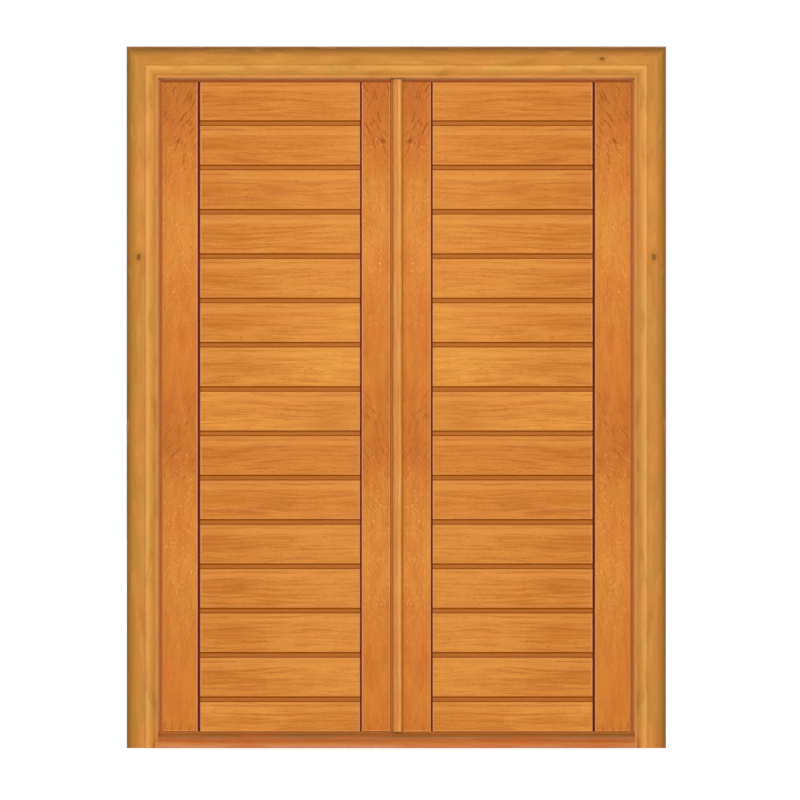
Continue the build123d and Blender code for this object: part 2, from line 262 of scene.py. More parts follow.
class Coat(Graph):
    """One material in the making: its graph and shader, and the point's place in the door.

    Attributes:
        solid: The Object coordinates.
        x, y, z: Their three parts.
        away: Distance from the door's middle line.
        grain: The timber's grain at the point, once it is placed.
    """

    def __init__(self, name: str) -> None:
        """Makes an empty material and reads Object coordinates.

        Args:
            name: The material's name.
        """
        self.finish = bpy.data.materials.new(name)
        self.finish.use_nodes = True
        super().__init__(self.finish.node_tree)
        self.shader = self.tree.nodes["Principled BSDF"]
        self.solid = self.add("ShaderNodeTexCoord").outputs["Object"]
        self.x, self.y, self.z = self.add("ShaderNodeSeparateXYZ", {0: self.solid}).outputs
        self.away = self.math("ABSOLUTE", self.x)
        self.grain: Outputs | None = None

    def surface(self, colour: Socket, roughness: Socket, height: Socket, strength: float,
                relief: float) -> None:
        """Feeds the shader.

        Args:
            colour: The base colour.
            roughness: How dull it is, 0 to 1.
            height: The relief, 0 to 1.
            strength: How much of the relief shows, 0 to 1.
            relief: The relief's full height in metres.
        """
        bump = self.add("ShaderNodeBump", {"Height": height, "Strength": strength, "Distance": relief})
        for name, value in (("Base Color", colour), ("Roughness", roughness), ("Normal", bump.outputs[0])):
            self.feed(self.shader.inputs[name], value)


class Effect:
    """A shader node group with named inputs and outputs, built once and placed in many materials."""

    def __init__(self, name: str, inputs: dict[str, float], outputs: list[str]) -> None:
        """Makes the group with its sockets.

        Args:
            name: The group's name.
            inputs: Names of the number inputs with their first values.
            outputs: Names of the number outputs.
        """
        self.tree = bpy.data.node_groups.new(name, "ShaderNodeTree")
        for label, value in inputs.items():
            socket = self.tree.interface.new_socket(label, in_out="INPUT", socket_type="NodeSocketFloat")
            socket.default_value = value
        for label in outputs:
            self.tree.interface.new_socket(label, in_out="OUTPUT", socket_type="NodeSocketFloat")
        self.graph = Graph(self.tree)
        self.given = self.graph.add("NodeGroupInput").outputs
        self.result = self.graph.add("NodeGroupOutput").inputs

    def put_out(self, **values: Socket) -> None:
        """Links the group's outputs, named with underscores for spaces."""
        for label, value in values.items():
            self.graph.feed(self.result[label.replace("_", " ")], value)

    def place(self, graph: Graph, **values: Value) -> Outputs:
        """Puts the group into a material's graph with its own values.

        Args:
            graph: The graph of the material.
            values: The group's inputs, named with underscores for spaces.

        Returns:
            The group's outputs by name.
        """
        node = graph.add("ShaderNodeGroup", node_tree=self.tree)
        for label, value in values.items():
            graph.feed(node.inputs[label.replace("_", " ")], value)
        return node.outputs


class TimberGrain(Effect):
    """Solid hardwood figure: streaks, dashes, fibres, open pores and slow patches."""

    drift_scale: float = 2.6
    drift_reach: float = 0.05
    dash_scales: Scales = (16.0, 180.0, 180.0)
    fibre_scales: Scales = (60.0, 420.0, 420.0)
    pore_scales: Scales = (58.0, 520.0, 520.0)
    patch_scale: float = 7.0

    def __init__(self) -> None:
        """Builds the group: every output is a sum of noises in stretched solid coordinates."""
        inputs = {"Along": 0.0, "Across": 0.0, "Deep": 0.0, "Streak Length": 0.25, "Streak Width": 0.012}
        super().__init__("Timber grain", inputs, ["Streak", "Dash", "Fibre", "Pores", "Patch", "Height"])
        graph = self.graph
        along, across, deep = (self.given[label] for label in ("Along", "Across", "Deep"))
        solid = graph.point(along, across, deep)
        drift = graph.less(graph.noise(solid, self.drift_scale, 1.0), 0.5)
        wander = graph.fused(drift, self.drift_reach, across)
        run = graph.math("DIVIDE", along, self.given["Streak Length"])
        rows = graph.math("DIVIDE", wander, self.given["Streak Width"])
        layers = graph.math("DIVIDE", deep, self.given["Streak Width"])
        streak = graph.step(graph.noise(graph.point(run, rows, layers), 1.0, 4.0, 0.6), 0.27, 0.73)
        parts = (along, wander, deep)
        dash = graph.step(graph.stretched(parts, self.dash_scales, 3.0, 0.6), 0.53, 0.72)
        fibre = graph.step(graph.stretched(parts, self.fibre_scales), 0.25, 0.75)
        pores = graph.step(graph.stretched(parts, self.pore_scales, 1.0), 0.62, 0.74)
        patch = graph.step(graph.noise(solid, self.patch_scale), 0.3, 0.7)
        relief = graph.plus(graph.times(fibre, 0.6), graph.times(streak, 0.5))
        height = graph.less(relief, graph.times(pores, 0.7))
        self.put_out(Streak=streak, Dash=dash, Fibre=fibre, Pores=pores, Patch=patch, Height=height)


class HollowShade(Effect):
    """Painted shade in a hollow: each output is 1 from its own depth below the face."""

    def __init__(self) -> None:
        """Builds the group from smooth steps over the depth in metres."""
        super().__init__("Hollow painted shade", {"Depth": 0.0}, ["Rim", "Channel", "Groove"])
        depth = self.given["Depth"]
        self.put_out(
            Rim=self.graph.step(depth, 0.0002, 0.0016),
            Channel=self.graph.step(depth, 0.0014, 0.0045),
            Groove=self.graph.step(depth, 0.0085, 0.0112),
        )


class Knot(Effect):
    """One small knot: a dark eye in a soft halo that the grain flows round."""

    grain_squeeze: float = 0.45
    rough_scale: float = 160.0
    rough_share: float = 0.9

    def __init__(self) -> None:
        """Builds the group: the distance from a place on the face, squeezed across the grain."""
        inputs = {"Along": 0.0, "Across": 0.0, "Centre Along": 0.0, "Centre Across": 0.0, "Radius": 0.008}
        super().__init__("Knot", inputs, ["Eye", "Halo"])
        graph = self.graph
        run = graph.less(self.given["Along"], self.given["Centre Along"])
        row = graph.less(self.given["Across"], self.given["Centre Across"])
        rough = graph.noise(graph.point(self.given["Along"], self.given["Across"], 0.0), self.rough_scale)
        span = graph.plus(graph.times(run, run, self.grain_squeeze), graph.times(row, row))
        ratio = graph.math("DIVIDE", graph.math("SQRT", span), self.given["Radius"])
        ratio = graph.plus(ratio, graph.times(graph.less(rough, 0.5), self.rough_share))
        self.put_out(Eye=graph.step(ratio, 1.1, 0.45), Halo=graph.step(ratio, 2.8, 0.8))


class Tarnish(Effect):
    """Dulled metal: cloudy patches and fine scratches from years of handling."""

    cloud_scale: float = 190.0
    scratch_scale: float = 1900.0
    scratch_stretch: float = 0.04

    def __init__(self) -> None:
        """Builds the group from a coarse noise and one that is stretched along the length."""
        super().__init__("Tarnish", {"X": 0.0, "Y": 0.0, "Z": 0.0}, ["Cloud", "Scratch"])
        graph = self.graph
        x, y, z = (self.given[label] for label in "XYZ")
        cloud = graph.step(graph.noise(graph.point(x, y, z), self.cloud_scale, 3.0), 0.35, 0.7)
        lengthwise = graph.point(x, y, graph.times(z, self.scratch_stretch))
        self.put_out(Cloud=cloud, Scratch=graph.step(graph.noise(lengthwise, self.scratch_scale), 0.4, 0.75))


@dataclass(frozen=True)
class Effects:
    """The node groups that the finishes share."""

    grain: TimberGrain
    stain: HollowShade
    knot: Knot
    tarnish: Tarnish


@dataclass(frozen=True)
class Timber:
    """One lacquered timber: its figure's tints, its streaks and gloss, and its run of colours."""

    name: str
    effects: Effects
    run: Run
    mirrored: bool = True
    streak_length: float = 0.22
    streak_width: float = 0.011
    dark_tint: Paint = (0.84, 0.76, 0.62)
    light_tint: Paint = (1.12, 1.19, 1.3)
    red_tint: Paint = (0.99, 0.93, 0.86)
    gold_tint: Paint = (1.01, 1.07, 1.14)
    pore_shade: Shade = (150, 76, 26)
    pore_share: float = 0.35
    dash_tint: Paint = (0.80, 0.70, 0.55)
    dash_share: float = 0.5
    streak_share: float = 0.75
    roughness: float = 0.43
    pore_dullness: float = 0.12
    patch_dullness: float = 0.06
    gloss: float = 0.1
    bump: float = 0.5
    relief: float = 0.0002
    stops: Stops = ()
    reach: float = 1.0

    def material(self) -> Material:
        """Builds the material: its ground, the figure over it, and what is particular to the member.

        Returns:
            The finished material.
        """
        coat = Coat(self.name)
        width = coat.away if self.mirrored else coat.x
        along, across = (width, coat.z) if self.run is Run.ACROSS else (coat.z, width)
        grain = coat.grain = self.effects.grain.place(
            coat, Along=self.shifted(coat, along), Across=across, Deep=coat.y,
            Streak_Length=self.streak_length, Streak_Width=self.streak_width)
        colour = self.dressing(coat, self.figure(coat, self.ground(coat)))
        dull = coat.plus(coat.times(grain["Pores"], self.pore_dullness),
                         coat.times(grain["Patch"], self.patch_dullness))
        coat.surface(colour, coat.plus(dull, self.roughness), grain["Height"], self.bump, self.relief)
        coat.shader.inputs["Specular IOR Level"].default_value = self.gloss
        return coat.finish

    def shifted(self, coat: Coat, along: Socket) -> Socket:
        """Moves the figure along the grain; a finish with several boards moves each by its own length."""
        return along

    def way(self, coat: Coat) -> Socket:
        """How far the point is along the run of colours."""
        return coat.z

    def ground(self, coat: Coat) -> Socket:
        """The colour under the figure, from the run of colours."""
        return coat.lacquer(coat.share(self.way(coat), self.reach), self.stops, self.reach)

    def figure(self, coat: Coat, ground: Socket) -> Socket:
        """Lays streaks, patches and pores over the ground by multiplying it with tints.

        Args:
            coat: The material in the making.
            ground: The colour under the figure.

        Returns:
            The figured colour.
        """
        grain = coat.grain
        mark = coat.plus(coat.times(grain["Streak"], self.streak_share),
                         coat.times(grain["Fibre"], 1.0 - self.streak_share))
        streaks = coat.blend(mark, self.dark_tint, self.light_tint)
        streaks = coat.blend(coat.times(grain["Dash"], self.dash_share), streaks, self.dash_tint)
        patches = coat.blend(grain["Patch"], self.red_tint, self.gold_tint)
        colour = coat.blend(1.0, coat.blend(1.0, ground, streaks, "MULTIPLY"), patches, "MULTIPLY")
        return coat.stain(colour, self.pore_shade, grain["Pores"], self.pore_share)

    def dressing(self, coat: Coat, colour: Socket) -> Socket:
        """What is particular to one member, such as worn ridges and stained hollows."""
        return colour


@dataclass(frozen=True)
class FrameTimber(Timber):
    """Head and jambs: golden lacquer over soft clouds, with painted shade round the outer edge and a painted
    highlight along the ridge.
    """

    streak_length: float = 0.34
    streak_width: float = 0.014
    dark_tint: Paint = (0.93, 0.90, 0.84)
    light_tint: Paint = (1.06, 1.08, 1.12)
    red_tint: Paint = (1.05, 0.97, 0.97)
    gold_tint: Paint = (0.95, 1.02, 0.97)
    pore_share: float = 0.12
    dash_share: float = 0.12
    # Across the moulding: painted shade on the outer round, a painted highlight on the ridge, and painted
    # shade in the trough beyond it.
    stops: Stops = (
        (0.003, 150, 108, 52), (0.009, 163, 108, 50), (0.015, 180, 124, 60), (0.026, 193, 130, 59),
        (0.034, 202, 137, 62), (0.054, 203, 139, 62), (0.062, 224, 159, 83), (0.068, 226, 162, 86),
        (0.076, 216, 153, 77), (0.088, 214, 155, 80), (0.093, 207, 141, 77), (0.0985, 212, 142, 78))
    reach: float = 0.1
    plain_shade: Shade = (205, 139, 63)
    crown: Span = (0.036, 0.002)
    crown_painted_shade: float = 0.0
    moulded_depth: Span = (0.035, 0.020)
    lining_depth: Span = (0.0112, 0.015)
    lining_edge: Span = (0.0975, 0.098)
    cloud_scales: Scales = (9.0, 34.0, 34.0)
    knot_along: float = 1.529
    knot_from_edge: float = 0.038
    knot_radius: float = 0.0085

    def way(self, coat: Coat) -> Socket:
        """Distance from the frame's outer edge, across the member."""
        upright = self.run is Run.UPRIGHT
        return coat.less(DOOR.half_width, coat.away) if upright else coat.less(DOOR.height, coat.z)

    def ground(self, coat: Coat) -> Socket:
        """The colour across the moulding, from the outer edge to the arris of the opening, with its painted
        shade and highlight.

        Args:
            coat: The material in the making.

        Returns:
            The moulding's colour in front, and the plain shade behind it.
        """
        # Painted shade on the head's outer round, which the lamps light from above.
        crown = coat.step(self.way(coat), *self.crown, 0.0, self.crown_painted_shade)
        colour = coat.stain(super().ground(coat), (96, 56, 28), crown)
        moulded = coat.step(coat.less(coat.y, DOOR.front), *self.moulded_depth)
        return coat.blend(moulded, lacquered(*self.plain_shade), colour)

    def dressing(self, coat: Coat, colour: Socket) -> Socket:
        """Soft clouds, one small knot on the flat, and painted shade on the lining inside the opening.

        Args:
            coat: The material in the making.
            colour: The figured colour.

        Returns:
            The dressed colour.
        """
        edge = self.way(coat)
        along = coat.z if self.run is Run.UPRIGHT else coat.x
        cloud = coat.stretched((along, edge, coat.y), self.cloud_scales, 3.0, 0.55)
        colour = coat.stain(colour, (178, 118, 46), coat.step(cloud, 0.48, 0.74, 0.0, 0.5))
        colour = coat.stain(colour, (226, 158, 82), coat.step(cloud, 0.46, 0.28, 0.0, 0.35))
        knot = self.effects.knot.place(
            coat, Along=along, Across=edge, Centre_Along=self.knot_along,
            Centre_Across=self.knot_from_edge, Radius=self.knot_radius)
        colour = coat.stain(colour, (172, 112, 38), knot["Halo"], 0.5)
        colour = coat.stain(colour, (128, 84, 28), knot["Eye"], 0.9)
        # Painted shade on the lining inside the opening.
        lining_shadow = coat.step(coat.less(coat.y, DOOR.front), *self.lining_depth)
        return coat.stain(colour, (168, 95, 39), lining_shadow, coat.step(edge, *self.lining_edge), 0.6)


@dataclass(frozen=True)
class SillTimber(Timber):
    """Sill: reddish timber with painted shade, brown at the foot of the leaves and darker down the slope,
    pale on the nosing.
    """

    # Up the sill: the pale nosing, then painted shade that deepens up the slope to the foot of the leaves.
    stops: Stops = (
        (0.001, 190, 142, 104), (0.008, 214, 137, 86), (0.012, 214, 134, 74), (0.018, 199, 120, 58),
        (0.023, 197, 116, 57), (0.028, 197, 121, 70), (0.034, 177, 119, 72), (0.041, 158, 102, 50),
        (0.0455, 158, 98, 40))
    reach: float = 0.052
    worn_scales: Scales = (4.5, 18.0, 55.0)

    def dressing(self, coat: Coat, colour: Socket) -> Socket:
        """Reddish patches where the lacquer is worn, drawn out along the sill; its horns match the jambs.

        Args:
            coat: The material in the making.
            colour: The figured colour.

        Returns:
            The dressed colour.
        """
        wear_and_fade = coat.step(coat.stretched((coat.x, coat.y, coat.z), self.worn_scales), 0.5, 0.68)
        colour = coat.stain(colour, (208, 102, 46), wear_and_fade, 0.45)
        return coat.stain(colour, (208, 143, 74), coat.step(coat.away, DOOR.lip, DOOR.lip + 0.001))


@dataclass(frozen=True)
class LeafTimber(Timber):
    """What stiles and boards share: painted shade in the grooves, and painted shade and light on the steps
    round the leaves.
    """

    meeting_fade: Span = (0.15, 0.32)
    upper_quirk: Span = (0.0025, 0.0045)
    lower_quirk: Span = (-0.0045, -0.0060)
    side_arris: Span = (-0.0035, -0.001)
    top_arris: Span = (-0.0035, -0.0015)
    bottom_arris: Span = (-0.0055, -0.003)
    groove_arris: float = 0.004

    def hollows(self, coat: Coat, colour: Socket) -> Socket:
        """Paints shade into the channels, their quirks and the upright grooves by depth, short of the leaf's
        ends.

        Args:
            coat: The material in the making.
            colour: The colour of the open face.

        Returns:
            The colour with its hollows and its stepped edges.
        """
        depth = coat.math("MINIMUM", coat.less(coat.y, DOOR.leaf_front), coat.less(DOOR.rear, coat.y))
        # Painted shade in the hollows, by depth below the face.
        stain = self.effects.stain.place(coat, Depth=depth)
        inside = coat.times(
            coat.band(coat.away, DOOR.inner_groove[0] - 0.0004, DOOR.outer_groove[1] + 0.0004, HAIR),
            coat.band(coat.z, DOOR.leaf_bottom + 0.0007, DOOR.leaf_top - 0.0007, 0.0003))
        height = self.above_channel(coat)
        # The quirks' painted shade fades towards the meeting edge.
        wear_and_fade = coat.step(coat.away, *self.meeting_fade, 0.6, 1.0)
        upper = coat.times(stain["Rim"], coat.step(height, *self.upper_quirk), inside)
        lower = coat.times(stain["Rim"], coat.step(height, *self.lower_quirk), inside)
        # Painted shade: on the channel floors, darkest in the upper quirk under the board above, and deepest
        # in the upright grooves.
        colour = coat.stain(colour, (183, 108, 44), stain["Channel"], inside)
        colour = coat.stain(colour, (174, 96, 28), upper, wear_and_fade, 0.95)
        colour = coat.stain(colour, (190, 112, 46), lower, wear_and_fade, 0.9)
        colour = coat.stain(colour, (118, 34, 0), stain["Groove"], inside)
        return self.stepped_edges(coat, colour)

    def stepped_edges(self, coat: Coat, colour: Socket) -> Socket:
        """Paints highlights on the face's arrises, and paints shade and light on the step outside them, by
        the distance past the face.

        Args:
            coat: The material in the making.
            colour: The colour of the face with its hollows.

        Returns:
            The colour with its edges.
        """
        outside = coat.less(coat.away, DOOR.face_edge)
        above = coat.less(coat.z, DOOR.face_top)
        below = coat.less(DOOR.face_bottom, coat.z)
        beyond = coat.math("MAXIMUM", outside, coat.math("MAXIMUM", above, below))
        front = coat.step(coat.y, DOOR.leaf_front + 0.004, DOOR.leaf_front + 0.002)
        # Painted highlights along the face's side and bottom arrises.
        arris_highlight = coat.math("MAXIMUM", coat.step(outside, *self.side_arris),
                           coat.step(below, *self.bottom_arris))
        colour = coat.stain(colour, (240, 162, 88), arris_highlight, front, 0.5)
        # Painted shade along the face's top, under the head.
        colour = coat.stain(colour, (178, 102, 46), coat.step(above, *self.top_arris, 0.0, 0.8), front)
        # Painted shade on the step between the frame's lip and the face, with painted light next to the lip,
        # and one painted shade at the foot.
        share = coat.share(beyond, DOOR.step_width)
        at_jamb = coat.lacquer(share, (
            (0.03, 204, 124, 60), (0.28, 178, 99, 41), (0.60, 190, 115, 55), (1.0, 236, 168, 102)))
        at_head = coat.lacquer(share, (
            (0.05, 168, 90, 38), (0.30, 167, 90, 38), (0.60, 203, 120, 52), (0.9, 248, 182, 114)))
        shade = coat.blend(coat.step(above, -HAIR, HAIR), at_jamb, at_head)
        shade = coat.stain(shade, (196, 120, 52), coat.step(below, -HAIR, HAIR))
        stepped = coat.times(coat.step(beyond, -HAIR, HAIR),
                             coat.band(coat.y, DOOR.leaf_front + 0.004, 0.002, 0.003))
        return coat.blend(stepped, colour, shade)

    def board_share(self, coat: Coat) -> Socket:
        """Height counted in boards from the first channel, so that whole numbers are channels."""
        return coat.math("DIVIDE", coat.less(coat.z, DOOR.first_channel), DOOR.board_pitch)

    def above_channel(self, coat: Coat) -> Socket:
        """Height above the middle of the nearest channel."""
        share = self.board_share(coat)
        return coat.times(coat.less(share, coat.math("ROUND", share)), DOOR.board_pitch)

    def pale_arris(self, coat: Coat, colour: Socket) -> Socket:
        """Pale lines of painted highlight on the arrises beside the upright grooves.

        Args:
            coat: The material in the making.
            colour: The colour of the face.

        Returns:
            The colour with the pale lines.
        """
        outer, inner = (coat.band(coat.away, low - self.groove_arris, high + self.groove_arris, 0.002)
                        for low, high in (DOOR.outer_groove, DOOR.inner_groove))
        # Painted highlight on the arrises beside the grooves.
        return coat.stain(colour, (213, 142, 94), coat.math("MAXIMUM", outer, inner), 0.65)


@dataclass(frozen=True)
class StileTimber(LeafTimber):
    """Stiles: blotchy orange with dark veins and pale flecks, slanting, and mirrored from leaf to leaf."""

    dark_tint: Paint = (0.90, 0.85, 0.76)
    light_tint: Paint = (1.08, 1.12, 1.18)
    red_tint: Paint = (1.0, 0.92, 0.90)
    gold_tint: Paint = (1.0, 1.08, 1.08)
    dash_share: float = 0.25
    stops: Stops = (
        (0.0, 211, 129, 53), (0.13, 201, 117, 48), (0.24, 204, 120, 49), (0.40, 209, 124, 50),
        (0.65, 212, 130, 54), (0.78, 219, 139, 59), (0.88, 215, 135, 57), (1.0, 211, 129, 53))
    figure_foot: float = 0.79
    between_stiles: float = 0.36
    slant: Span = (0.88, 0.47)
    upper_length: Span = (1.35, 1.75)
    pale_foot: Span = (0.34, 0.08)
    shaded_top: Span = (1.92, 2.03)
    bead_shade: Span = (0.0265, 0.0205)
    free_arris: Span = (-0.0205, -0.0165)
    vein_length_scale: float = 22.0
    fleck_length_scale: float = 90.0
    stroke_width_scale: float = 180.0

    def way(self, coat: Coat) -> Socket:
        """Height inside one length of the figure, which repeats every metre."""
        return coat.math("FRACT", coat.plus(coat.less(coat.z, self.figure_foot), 2.0))

    def ground(self, coat: Coat) -> Socket:
        """Two lengths of the figure, each darkest near its foot and palest near its top.

        Args:
            coat: The material in the making.

        Returns:
            The colour, lighter at the stile's foot and shaded at its top.
        """
        foot = coat.step(coat.z, *self.pale_foot, 0.0, 0.4)
        top = coat.step(coat.z, *self.shaded_top, 0.0, 0.3)
        return coat.stain(coat.stain(super().ground(coat), (222, 142, 56), foot), (176, 98, 42), top)

    def strokes(self, coat: Coat, run: Socket, row: Socket, length_scale: float) -> Socket:
        """Strokes along the slant, with the point's place along and across it and their length's scale."""
        scales = (length_scale, self.stroke_width_scale, 150.0)
        return coat.step(coat.stretched((run, row, coat.y), scales, 2.0, 0.6), 0.53, 0.66)

    def veined(self, coat: Coat, colour: Socket) -> Socket:
        """Pale flecks in drifts, and dark veins in clusters that crowd the foot of each length.

        Args:
            coat: The material in the making.
            colour: The figured colour.

        Returns:
            The colour with its veins and flecks.
        """
        cosine, sine = self.slant
        hinge_side = coat.step(coat.away, self.between_stiles, self.between_stiles + 0.01, 1.0, -1.0)
        slant = coat.times(coat.less(coat.away, self.between_stiles), hinge_side)
        sway = coat.times(coat.less(coat.noise(coat.point(coat.z, coat.away, 1.3), 9.0), 0.5), 0.05)
        run = coat.plus(coat.times(coat.z, cosine), coat.times(slant, sine))
        row = coat.plus(coat.less(coat.times(coat.z, sine), coat.times(slant, cosine)), sway)
        share = self.way(coat)
        foot = coat.times(coat.step(share, 0.36, 0.24, 0.1, 1.0), coat.step(share, 0.0, 0.08, 0.3, 1.0))
        crowded = coat.times(coat.math("MAXIMUM", foot, coat.step(share, 0.48, 1.0, 0.1, 0.3)),
                             coat.step(coat.z, *self.upper_length, 0.6, 1.0))
        sparse = coat.plus(coat.step(share, 0.08, 0.20, 0.5, 0.15), coat.step(share, 0.40, 0.75, 0.0, 0.45))
        drift = coat.noise(coat.point(coat.z, coat.away, 2.7), 26.0)
        cluster = coat.noise(coat.point(coat.z, coat.times(coat.away, 1.4), 5.1), 17.0, 1.0)
        light = coat.times(self.strokes(coat, run, coat.plus(row, 0.31), self.fleck_length_scale),
                           coat.step(drift, 0.38, 0.62, 0.15, 1.0))
        dark = coat.times(self.strokes(coat, run, row, self.vein_length_scale),
                          coat.step(cluster, 0.36, 0.54))
        colour = coat.stain(colour, (240, 164, 88), light, sparse)
        return coat.stain(colour, (150, 72, 18), dark, crowded, 0.85)

    def dressing(self, coat: Coat, colour: Socket) -> Socket:
        """Veins and flecks, painted highlights on the arrises, painted shade beside the cover bead, and
        painted shade in the hollows.

        Args:
            coat: The material in the making.
            colour: The figured colour.

        Returns:
            The dressed colour.
        """
        colour = self.pale_arris(coat, self.veined(coat, colour))
        front = coat.step(coat.y, DOOR.leaf_front + 0.002, DOOR.leaf_front)
        # Painted shade beside the cover bead.
        beside_bead = coat.times(coat.step(coat.x, *self.bead_shade), coat.step(coat.x, 0.0, 0.001))
        colour = coat.stain(colour, (174, 104, 36), beside_bead, front, 0.5)
        # Painted highlight on the meeting stile's free arris.
        colour = coat.stain(colour, (244, 168, 96), coat.band(coat.x, *self.free_arris, 0.001), front, 0.6)
        return self.hollows(coat, colour)


@dataclass(frozen=True)
class BoardTimber(LeafTimber):
    """Boards: fine straight grain, darker to one side, each board with its own figure."""

    dark_tint: Paint = (0.86, 0.78, 0.66)
    light_tint: Paint = (1.11, 1.17, 1.27)
    red_tint: Paint = (0.975, 0.915, 0.86)
    gold_tint: Paint = (1.025, 1.085, 1.14)
    dash_share: float = 0.32
    pore_share: float = 0.5
    tone_cycle: int = 7
    last_toned: float = 14.0
    hinge_to_meeting: Span = (0.60, 0.13)
    plank_length: float = 1.73
    lines: tuple[tuple[Shade, float, Scales], ...] = (
        ((230, 157, 74), 0.4, (-0.034, -0.026, 0.006)),
        ((222, 150, 76), 0.35, (-0.016, -0.010, 0.004)),
        ((214, 138, 72), 0.4, (0.010, 0.0135, 0.002)),
    )

    def number(self, coat: Coat) -> Socket:
        """The board's number, 1 at the bottom."""
        return coat.plus(coat.math("FLOOR", self.board_share(coat)), 2.0)

    def shifted(self, coat: Coat, along: Socket) -> Socket:
        """Each board is cut from a different length of the plank."""
        return coat.plus(along, coat.times(self.number(coat), self.plank_length))

    def ground(self, coat: Coat) -> Socket:
        """Darker at the hinge side, golden at the meeting side; boards 1 and 8 lie the other way round.

        Args:
            coat: The material in the making.

        Returns:
            The board's colour, which deepens upwards over each cycle of boards.
        """
        meeting = coat.step(coat.away, *self.hinge_to_meeting)
        counted = coat.less(coat.math("MINIMUM", self.number(coat), self.last_toned), 1.0)
        cycle = coat.math("FRACT", coat.math("DIVIDE", counted, self.tone_cycle))
        turned = coat.step(cycle, 0.07, 0.05)
        across = coat.blend(turned, coat.grey(meeting), coat.grey(coat.less(1.0, meeting)))
        colour = coat.blend(across, lacquered(214, 138, 58), lacquered(226, 151, 65))
        return coat.stain(colour, (204, 121, 52), cycle, 0.7)

    def dressing(self, coat: Coat, colour: Socket) -> Socket:
        """A bright streak under each channel, a pinker line over it, painted highlights on the arrises, and
        painted shade in the hollows.

        Args:
            coat: The material in the making.
            colour: The figured colour.

        Returns:
            The dressed colour.
        """
        flamed = coat.times(coat.step(coat.away, 0.16, 0.42), coat.step(coat.grain["Streak"], 0.55, 0.1))
        colour = coat.stain(colour, (176, 94, 30), flamed, 0.22)
        height = self.above_channel(coat)
        for shade, share, place in self.lines:
            colour = coat.stain(colour, shade, coat.band(height, *place), share)
        middle = coat.step(coat.math("ABSOLUTE", height), 0.042, 0.062)
        colour = coat.stain(colour, (186, 104, 30), middle, coat.step(coat.away, 0.38, 0.52), 0.3)
        return self.hollows(coat, self.pale_arris(coat, colour))


@dataclass(frozen=True)
class BeadTimber(Timber):
    """Cover bead: painted highlight along its ridge, painted shade down both sides."""

    left: float = -0.011
    width: float = 0.031
    # Across the bead: painted shade at its sides and a painted highlight on its ridge.
    stops: Stops = (
        (0.02, 194, 118, 50), (0.18, 211, 137, 68), (0.28, 216, 143, 73), (0.48, 224, 155, 82),
        (0.66, 228, 161, 88), (0.78, 222, 153, 82), (0.90, 204, 132, 58), (0.97, 202, 126, 46))

    def way(self, coat: Coat) -> Socket:
        """Share of the way across the bead."""
        return coat.math("DIVIDE", coat.less(coat.x, self.left), self.width)


@dataclass(frozen=True)
class Brass:
    """Satin brass that has dulled in patches."""

    effects: Effects
    bright: Paint = paint(214, 178, 108)
    dull: Paint = paint(150, 112, 62)
    roughness: float = 0.24
    relief: float = 0.00005

    def material(self) -> Material:
        """Builds the metal: clouds darken it and roughen it, scratches run along the hinge.

        Returns:
            The finished material.
        """
        coat = Coat("Satin brass")
        wear = self.effects.tarnish.place(coat, X=coat.x, Y=coat.y, Z=coat.z)
        colour = coat.blend(coat.times(wear["Cloud"], 0.7), self.bright, self.dull)
        rough = coat.plus(coat.times(wear["Cloud"], 0.2), coat.times(wear["Scratch"], 0.1))
        coat.surface(colour, coat.plus(rough, self.roughness), wear["Scratch"], 0.3, self.relief)
        coat.shader.inputs["Metallic"].default_value = 1.0
        return coat.finish


@dataclass(frozen=True)
class BrushPile:
    """Tan brush pile: fine upright lines of bristle in painted shade and light, darker at the root."""

    tip: Paint = paint(222, 132, 52)
    root: Paint = paint(186, 104, 38)
    root_x: float = -0.011
    pile_length: float = 0.004
    bristle_scales: Scales = (120.0, 1500.0, 1500.0)
    shaded: Paint = (0.6, 0.6, 0.6)
    lit: Paint = (1.3, 1.3, 1.3)
    relief: float = 0.0002

    def material(self) -> Material:
        """Builds the pile's finish from noise that is fine along the seal and long across it.

        Returns:
            The finished material.
        """
        coat = Coat("Brush pile")
        bristle = coat.stretched((coat.x, coat.y, coat.z), self.bristle_scales)
        out = coat.step(coat.x, self.root_x, self.root_x - self.pile_length)
        # Painted shade and light between the bristles, by the same fine noise.
        shade = coat.blend(bristle, self.shaded, self.lit)
        colour = coat.blend(1.0, coat.blend(out, self.root, self.tip), shade, "MULTIPLY")
        coat.surface(colour, coat.step(bristle, 0.2, 0.8, 0.95, 0.75), bristle, 0.8, self.relief)
        return coat.finish


def dress(node: str, finish: Material) -> None:
    """Gives a CAD node its finish in every material slot."""
    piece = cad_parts[node]
    for slot in piece.material_slots:
        slot.material = finish


def mesh_piece(name: str, points: np.ndarray, faces: np.ndarray, finish: Material) -> Piece:
    """Turns arrays into an object at the origin.

    Args:
        name: The piece's name.
        points: Its vertices, one row of X, Y and Z each.
        faces: Its faces, one row of four vertex numbers each.
        finish: Its material.

    Returns:
        The new object.
    """
    mesh = bpy.data.meshes.new(name)
    mesh.from_pydata(points.tolist(), [], faces.tolist())
    mesh.materials.append(finish)
    mesh.update()
    piece = bpy.data.objects.new(name, mesh)
    bpy.context.scene.collection.objects.link(piece)
    return piece


def grid_faces(rows: int, columns: int) -> np.ndarray:
    """Quads between a grid's neighbouring points, as rows of four point numbers counted row by row."""
    corner = (np.arange(rows - 1)[:, None] * columns + np.arange(columns - 1)[None, :]).ravel()
    return np.stack([corner, corner + 1, corner + columns + 1, corner + columns], axis=1)


